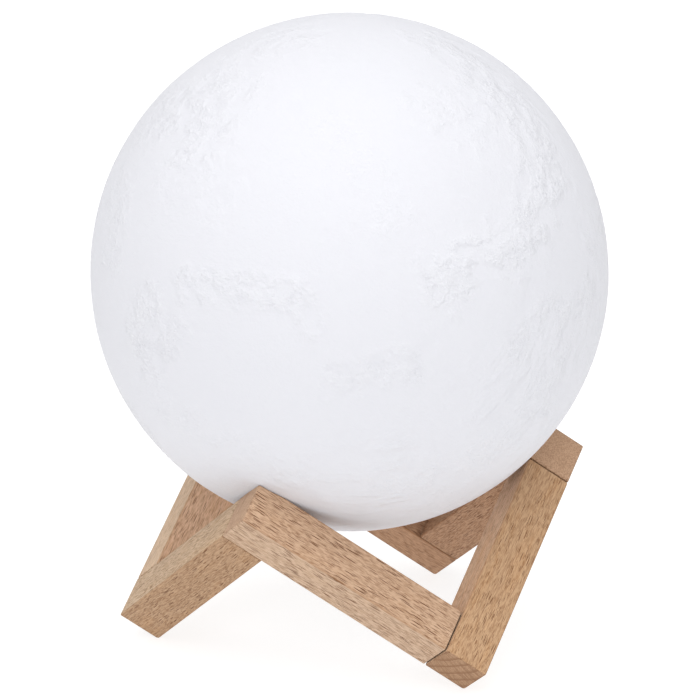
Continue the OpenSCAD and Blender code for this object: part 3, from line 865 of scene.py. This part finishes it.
def socketBlank(grow, low, high):  # the socket's outline, narrower on one long side
    bpy.ops.object.select_all(action="DESELECT")
    bpy.ops.mesh.primitive_plane_add(size=mm, location=(0, 0, low * mm))
    blank = bpy.context.object
    wide, thick = socketSizes["wide"] + 2 * grow, socketSizes["thick"] + 2 * grow
    blank.scale = (wide, thick, 1)
    settle(blank)
    edit(blank)
    pick(blank, lambda p: p.y > 0)
    bpy.ops.mesh.bevel(offset=socketSizes["corner"] * mm, segments=3, affect="VERTICES")
    pick(blank, lambda p: p.y < -0.49 * thick * mm)
    bpy.ops.mesh.bevel(offset=socketSizes["cut"] * mm, segments=1, affect="VERTICES")
    bpy.ops.mesh.select_all(action="SELECT")
    bpy.ops.mesh.extrude_region_move(TRANSFORM_OT_translate={"value": (0, 0, (high - low) * mm)})
    done()
    faceOut(blank)
    return blank


def makeCap():
    sizes = capSizes
    cap = drum(sizes["radius"], -sizes["floor"], 0, sides=sizes["sides"])
    easeRim(cap, -sizes["floor"], sizes["rim"])
    edit(cap)
    pickFaces(cap, lambda at, way: way.z < -0.99)
    flat = sizes["radius"] - sizes["rim"]
    bpy.ops.mesh.inset(thickness=(flat - sizes["grooveOut"]) * mm)
    bpy.ops.mesh.inset(thickness=(sizes["grooveOut"] - sizes["grooveIn"]) * mm)
    pickFaces(cap, lambda at, way: way.z < -0.99
              and sizes["grooveIn"] < math.hypot(at.x, at.y) < sizes["grooveOut"])
    bpy.ops.mesh.extrude_region_move(
        TRANSFORM_OT_translate={"value": (0, 0, sizes["grooveDeep"] * mm)})
    done()
    out, bore, high = sizes["spigot"]
    spigot = drum(out, sizes["root"], high, sides=sizes["sides"])
    combine(spigot, drum(bore, sizes["root"] - 0.1, high + 1, sides=sizes["sides"]))
    combine(cap, spigot, "UNION")
    for angle in sizes["postAngles"]:
        at = rounded(sizes["postPlace"], angle)
        post = drum(sizes["postRadius"], sizes["root"], sizes["postTop"], at, 32)
        combine(post, drum(sizes["postHole"], sizes["postHoleLow"], sizes["postTop"] + 1, at, 24))
        combine(cap, post, "UNION")
    for angle in screwSizes["angles"]:
        at = rounded(screwSizes["place"], angle)
        combine(cap, drum(screwSizes["sink"], through[0], screwSizes["headTop"], at, 48))
        combine(cap, drum(screwSizes["hole"], *through, at, 32))
    combine(cap, drum(pipeSizes["radius"] + bite, *through, (pipeSizes["place"], 0), 32))
    combine(cap, drum(ringSizes["pinHole"], *through, (ringSizes["pinPlace"], 0), 24))
    combine(cap, socketBlank(socketSizes["room"], *through))
    easeEdges(cap, sizes["edge"], sizes["edgeAngle"])
    raiseBase(cap, "baseCap", satin("capPlastic", (0.80, 0.80, 0.79), 900), "cap_plastic",
              "base_cap")


def makeTouchRing():
    sizes = ringSizes
    bpy.ops.object.select_all(action="DESELECT")
    bpy.ops.mesh.primitive_plane_add(size=mm, rotation=(math.pi / 2, 0, 0),
        location=(sizes["middle"] * mm, 0, (sizes["low"] + sizes["thick"] / 2) * mm))
    ring = bpy.context.object
    ring.scale = (sizes["wide"], sizes["thick"], 1)
    settle(ring)
    edit(ring)
    bpy.ops.mesh.select_all(action="SELECT")
    bpy.ops.mesh.bevel(offset=sizes["edge"] * mm, segments=4, affect="VERTICES")
    bpy.ops.mesh.select_all(action="SELECT")
    bpy.ops.mesh.delete(type="ONLY_FACE")
    bpy.ops.mesh.select_all(action="SELECT")
    bpy.ops.mesh.spin(steps=sizes["steps"], angle=2 * math.pi, center=(0, 0, 0), axis=(0, 0, 1))
    bpy.ops.mesh.select_all(action="SELECT")
    bpy.ops.mesh.remove_doubles(threshold=slack)
    done()
    faceOut(ring)
    pin = drum(sizes["pinRadius"], sizes["low"] + sizes["thick"] - bite, sizes["pinTop"],
               (sizes["pinPlace"], 0), 24)
    easeRim(pin, sizes["pinTop"], sizes["pinRound"], 3)
    raiseBase(weld([ring, pin]), "touchRing", turnedSteel("touchSteel"), "touch_steel",
              "touch_ring")


def makeScrews():
    sizes = screwSizes
    head = drum(sizes["head"], sizes["headLow"], sizes["headTop"], sides=48)
    easeRim(head, sizes["headLow"], sizes["headRound"], 6)
    wide, slim, deep = sizes["slot"]
    for size in ((wide, slim, 2 * deep), (slim, wide, 2 * deep)):  # a cross
        combine(head, block(size, sizes["headLow"] - deep))
    shank = drum(sizes["shank"], sizes["headTop"] - bite, sizes["tip"], sides=24)
    easeRim(shank, sizes["tip"], sizes["tipRound"], 2)
    screws = copyRound(weld([head, shank]), sizes["place"], sizes["angles"])
    raiseBase(screws, "barrelScrews", zinc, "screw_steel", "barrel_screws")


def makeSocket():
    sizes = socketSizes
    shell = socketBlank(0, sizes["low"], sizes["top"])
    combine(shell, socketBlank(-sizes["wall"], sizes["low"] - 1, sizes["top"] + 1))
    easeEdges(shell, sizes["edge"], sizes["edgeAngle"])
    raiseBase(shell, "chargingSocket", bright, "socket_steel", "charging_socket")
    tongue = block(sizes["tongue"], sizes["tongueLow"], (0, sizes["tongueAt"]))
    easeEdges(tongue, sizes["tongueEdge"])
    backing = socketBlank(-sizes["wall"] - 0.01, sizes["tongueBase"], sizes["top"])
    combine(tongue, backing, "UNION")
    raiseBase(tongue, "socketTongue", contacts(), "tongue_black", "socket_tongue")


def makePipe():
    sizes = pipeSizes
    at = (sizes["place"], 0)
    pipe = drum(sizes["radius"], sizes["low"], sizes["top"], at, 48)
    easeRim(pipe, sizes["low"], sizes["lowRound"], 4)
    easeRim(pipe, sizes["top"], sizes["topRound"], 2)
    flange = drum(sizes["flange"][0], 0, sizes["flange"][1], at, 48)
    combine(pipe, flange, "UNION")
    raiseBase(pipe, "lightPipe", clearPlastic("pipeClear", (0.9, 0.93, 0.95)), "pipe_clear",
              "light_pipe")


# finishes for the base unit and for the solids that keep their shape
def inBase(paint):  # millimetres in the base unit's own frame
    return paint.place((1 / mm,) * 3, (0, 0, -baseHeight / mm))


def inside(strand, low, high, soft=0.04):  # 1 between two values, 0 outside
    return strand.over(low - soft, low + soft) * (1 - strand.over(high - soft, high + soft))


def satin(name, tone, texture, roughness=0.42):
    paint = Paint(name)
    fine = paint.grain(paint.place(), texture, 3)
    broad = paint.grain(paint.place((1, 1, 1), (4, 2, 7)), 60, 2)
    paint.set("Base Color", paint.mix(broad * 0.6, (*tone, 1), tinted(tone, 0.95, 0.95, 0.94)))
    paint.set("Roughness", roughness - 0.08 + fine * 0.16)
    paint.set("Normal", paint.bump(fine, 0.04 * mm, 0.5))
    return paint.material


def turnedSteel(name):  # brushed round the lamp's axis
    paint = Paint(name, Metallic=1.0)
    x, y, z = axes(paint, inBase(paint))
    radius = (x * x + y * y) ** 0.5
    lines = paint.node("CombineXYZ", None, {0: y.turn(x) * 2.5, 1: radius * 9, 2: z * 9})
    brush = paint.grain(lines, 1, 4, 0.6)
    smear = paint.grain(paint.place((1, 1, 1), (2, 5, 1)), 90, 2)
    paint.set("Base Color", paint.mix(brush, (0.62, 0.62, 0.63, 1), (0.80, 0.80, 0.81, 1)))
    paint.set("Roughness", 0.2 + brush * 0.16 + smear.over(0.4, 0.7) * 0.08)
    paint.set("Normal", paint.bump(brush, 0.02 * mm, 0.5))
    return paint.material


def platedSteel(name, tone, roughness):
    paint = Paint(name, Metallic=1.0)
    cloud = paint.grain(paint.place(), 400, 3)
    scratch = paint.grain(paint.place((1, 0.1, 1), (1, 2, 3)), 3000, 2)
    paint.set("Base Color", paint.mix(cloud, (*tone, 1), tinted(tone, 0.82, 0.83, 0.86)))
    paint.set("Roughness", roughness + cloud * 0.12 + scratch.over(0.5, 0.7) * 0.1)
    paint.set("Normal", paint.bump(scratch, 0.01 * mm, 0.5))
    return paint.material


def contacts():  # black plastic with five gold strips
    paint = Paint("tongueBlack")
    x, y, z = axes(paint, inBase(paint))
    strip = inside(((x + 0.3) / 0.65).part(), 0.2, 0.74, 0.02) * inside(x, -1.6, 1.6, 0.01)
    strip = strip * inside(z, -1.2, 2.4) * inside(y, -0.5, 0.0)
    fine = paint.grain(paint.place(), 2500, 2)
    black = paint.mix(fine, (0.02, 0.02, 0.022, 1), (0.035, 0.035, 0.037, 1))
    paint.set("Base Color", paint.mix(strip, black, (0.83, 0.6, 0.22, 1)))
    paint.set("Metallic", strip)
    paint.set("Roughness", 0.5 - strip * 0.22 + fine * 0.08)
    return paint.material


def clearPlastic(name, tone, clear=0.9, roughness=0.08):
    paint = Paint(name, Transmission_Weight=clear, IOR=1.49)
    flow = paint.grain(paint.place(), 350, 2)
    paint.set("Base Color", paint.mix(flow, (*tone, 1), tinted(tone, 0.94, 0.95, 0.95)))
    paint.set("Roughness", roughness + flow * 0.06)
    return paint.material


def board(name, mask, tracks):  # solder mask over copper tracks, with tinned pads
    paint = Paint(name)
    at = inBase(paint)
    x, y, _ = axes(paint, at)
    cell = paint.node("TexVoronoi", {"distance": "CHEBYCHEV"}, {"Vector": at, "Scale": 0.21})
    way, full, tinned = axes(paint, cell.other(1))  # three draws for each field of the board

    def every(strand, pitch, end):  # strips at an even pitch in millimetres
        return inside((strand / pitch).part(), 0.3, end, 0.05)

    side = way.over(0.45, 0.47)
    track = every(y, 0.9, 0.68) * side + every(x, 0.9, 0.68) * (1 - side)
    track = track * full.over(0.3, 0.32)
    pad = every(x, 1.27, 0.7) * every(y, 1.27, 0.7) * tinned.over(0.8, 0.82)
    fine = paint.grain(paint.place(), 900, 2)
    tone = paint.mix(fine * 0.5, (*mask, 1), tinted(mask, 0.85, 0.85, 0.85))
    tone = paint.mix(track * 0.8, tone, (*tracks, 1))
    paint.set("Base Color", paint.mix(pad, tone, (0.72, 0.71, 0.68, 1)))
    paint.set("Metallic", pad)
    paint.set("Roughness", 0.34 + fine * 0.1)
    paint.set("Normal", paint.bump(track * 0.5 + pad, 0.04 * mm, 0.6))
    return paint.material


chipPlaces = {"coil": ((-2.6, 2.6), (-5.6, -0.4)), "coilMiddle": -3, "copper": (1.3, 1.9),
              "resistors": (-9.1, -7.9), "resistorPitch": 3, "resistorBody": (0.33, 0.67),
              "can": ((9.8, 14.2), (-1.7, 2.7)), "canLid": (11.2, 11.4)}


def chipPaint():  # black mouldings, a ferrite coil, tinned resistor ends and a sleeved capacitor
    paint = Paint("chipBlack")
    x, y, z = axes(paint, inBase(paint))
    fine = paint.grain(paint.place(), 3500, 2)
    tone = paint.mix(fine, (0.018, 0.018, 0.02, 1), (0.05, 0.05, 0.053, 1))
    coil, can = (inside(x, *chipPlaces[kind][0]) * inside(y, *chipPlaces[kind][1])
                 for kind in ("coil", "can"))
    rise = y - chipPlaces["coilMiddle"]
    winding = inside((x * x + rise * rise) ** 0.5, *chipPlaces["copper"])
    tone = paint.mix(coil, tone, (0.11, 0.1, 0.1, 1))
    tone = paint.mix(coil * winding, tone, (0.6, 0.27, 0.12, 1))
    body = (x / chipPlaces["resistorPitch"] + 0.5).part()
    body = inside(body, *chipPlaces["resistorBody"], 0.02)
    tinned = inside(y, *chipPlaces["resistors"]) * (1 - body)
    lid = z.over(*chipPlaces["canLid"])
    tone = paint.mix(can * (1 - lid), tone, (0.03, 0.07, 0.2, 1))
    metal = (tinned + can * lid).over(0.4, 0.6)
    paint.set("Base Color", paint.mix(metal, tone, (0.72, 0.72, 0.73, 1)))
    paint.set("Metallic", metal)
    paint.set("Roughness", 0.52 - metal * 0.2 + fine * 0.1)
    paint.set("Normal", paint.bump(fine, 0.02 * mm, 0.5))
    return paint.material


def leadPaint(name, tone, second=None, split=0.0):  # smooth insulation, with room for a pair
    paint = Paint(name)
    x = axes(paint, inBase(paint))[0]
    fine = paint.grain(paint.place(), 700, 2)
    base = paint.mix(fine * 0.6, (*tone, 1), tinted(tone, 0.75, 0.75, 0.75))
    if second:
        base = paint.mix(x.over(split - 0.05, split + 0.05), base, (*second, 1))
    paint.set("Base Color", base)
    paint.set("Roughness", 0.3 + fine * 0.15)
    return paint.material


def cellPaint():  # creased foil with a band of amber tape at the top
    paint = Paint("cellFoil", Metallic=0.85)
    z = axes(paint, inBase(paint))[2]
    crease = paint.node("TexVoronoi", {"feature": "DISTANCE_TO_EDGE"},
                        {"Vector": paint.place((1, 1, 0.5)), "Scale": 160})
    fold = 1 - crease.over(0.0, 0.05)
    cloud = paint.grain(paint.place(), 180, 3)
    foil = paint.mix(cloud, (0.62, 0.63, 0.65, 1), (0.78, 0.79, 0.8, 1))
    tape = z.over(40.6, 40.8)
    paint.set("Base Color", paint.mix(tape, foil, (0.62, 0.3, 0.03, 1)))
    paint.set("Roughness", 0.26 + cloud * 0.16)
    paint.set("Normal", paint.bump(cloud - fold * 0.4, 0.2 * mm, 0.6))
    return paint.material


def foamPaint():
    paint = Paint("foamGray")
    cell = paint.node("TexVoronoi", None, {"Vector": paint.place(), "Scale": 1800})
    hole = 1 - cell.over(0.15, 0.55)
    # the holes are painted darker: painted shade in the foam's pores
    tone = paint.mix(hole, (0.09, 0.095, 0.1, 1), (0.03, 0.032, 0.035, 1))
    paint.set("Base Color", tone)
    paint.set("Roughness", 0.85 + hole * 0.1)
    paint.set("Normal", paint.bump(1 - hole, 0.2 * mm, 0.8))
    return paint.material


def ledPaint():  # white packages, each with a round window of yellow phosphor
    paint = Paint("ledResin")
    x, y, _ = axes(paint, inBase(paint))
    gap = (x * x + y * y) ** 0.5  # from the nearest of the seven chips
    for angle in range(0, 360, 60):
        right, up = rounded(10, angle)
        right, up = x - right, y - up
        gap = gap.least((right * right + up * up) ** 0.5)
    window = 1 - gap.over(1.85, 1.95)
    fine = paint.grain(paint.place(), 2500, 2)
    phosphor = paint.mix(fine, (0.86, 0.68, 0.12, 1), (0.95, 0.8, 0.25, 1))
    paint.set("Base Color", paint.mix(window, (0.82, 0.82, 0.8, 1), phosphor))
    paint.set("Roughness", 0.35 - window * 0.15 + fine * 0.1)
    paint.set("Normal", paint.bump(1 - window, 0.2 * mm, 0.5))
    return paint.material


def milky(name, tone, clear, roughness):
    paint = Paint(name, Transmission_Weight=clear, IOR=1.5, Subsurface_Weight=0.4,
                  Subsurface_Scale=3 * mm)
    cloud = paint.grain(paint.place(), 140, 3)
    paint.set("Base Color", paint.mix(cloud, (*tone, 1), tinted(tone, 0.96, 0.96, 0.95)))
    paint.set("Roughness", roughness + cloud * 0.1)
    return paint.material


def dowelPaint():
    paint = Paint("dowelBeech")
    fibre = paint.grain(paint.place((1, 1, 0.3)), 900, 3)
    broad = paint.grain(paint.place(), 90, 2)
    tone = paint.mix(fibre.over(0.35, 0.7), colour(204, 172, 136), colour(172, 134, 98))
    paint.set("Base Color", paint.mix(broad * 0.4, tone, colour(190, 150, 112)))
    paint.set("Roughness", 0.6 + fibre * 0.12)
    paint.set("Normal", paint.bump(fibre, 0.06 * mm, 0.6))
    return paint.material


def coat(material, *nodes):  # a solid that keeps its shape gets its finish
    for node in nodes:
        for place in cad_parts[node].material_slots:
            place.material = material


def coatSolids():
    green = (0.012, 0.085, 0.035)
    coat(dowelPaint(), "joint_dowels")
    coat(milky("clearGlue", (0.86, 0.84, 0.76), 0.7, 0.15), "neck_glue_bead")
    coat(satin("barrelPlastic", (0.78, 0.78, 0.77), 700, 0.5), "lamp_barrel")
    coat(zinc, "board_screws", "led_board_screws")
    coat(board("boardGreen", green, (0.02, 0.16, 0.06)), "control_board", "cell_guard_board")
    coat(chipPaint(), "board_components")
    coat(milky("ledYellow", (0.9, 0.82, 0.45), 0.4, 0.2), "charge_led")
    coat(leadPaint("leadGreen", (0.02, 0.2, 0.05)), "touch_lead")
    coat(satin("connectorNylon", (0.74, 0.7, 0.58), 1200, 0.5), "battery_header", "battery_plug")
    coat(leadPaint("leadRed", (0.42, 0.015, 0.012), (0.02, 0.02, 0.022), 6.2), "battery_leads")
    coat(cellPaint(), "battery_cell")
    coat(foamPaint(), "cell_foam_pads")
    coat(board("boardWhite", (0.75, 0.75, 0.74), (0.66, 0.66, 0.63)), "led_board")
    coat(ledPaint(), "led_chips")
    coat(leadPaint("leadYellow", (0.72, 0.42, 0.02)), "led_leads")
    coat(milky("diffuserMilk", (0.86, 0.86, 0.86), 0.3, 0.4), "led_diffuser")


zinc = platedSteel("screwSteel", (0.66, 0.66, 0.68), 0.26)
bright = platedSteel("socketSteel", (0.74, 0.74, 0.75), 0.18)


makeCamera()
makeRoom()
print("camera and room made")
for bar in bars:
    makeBar(*bar)
print("stand made")
makeGlobe()
print("globe made")
makeCap()
makeTouchRing()
makeScrews()
makeSocket()
makePipe()
coatSolids()
print("base unit made")
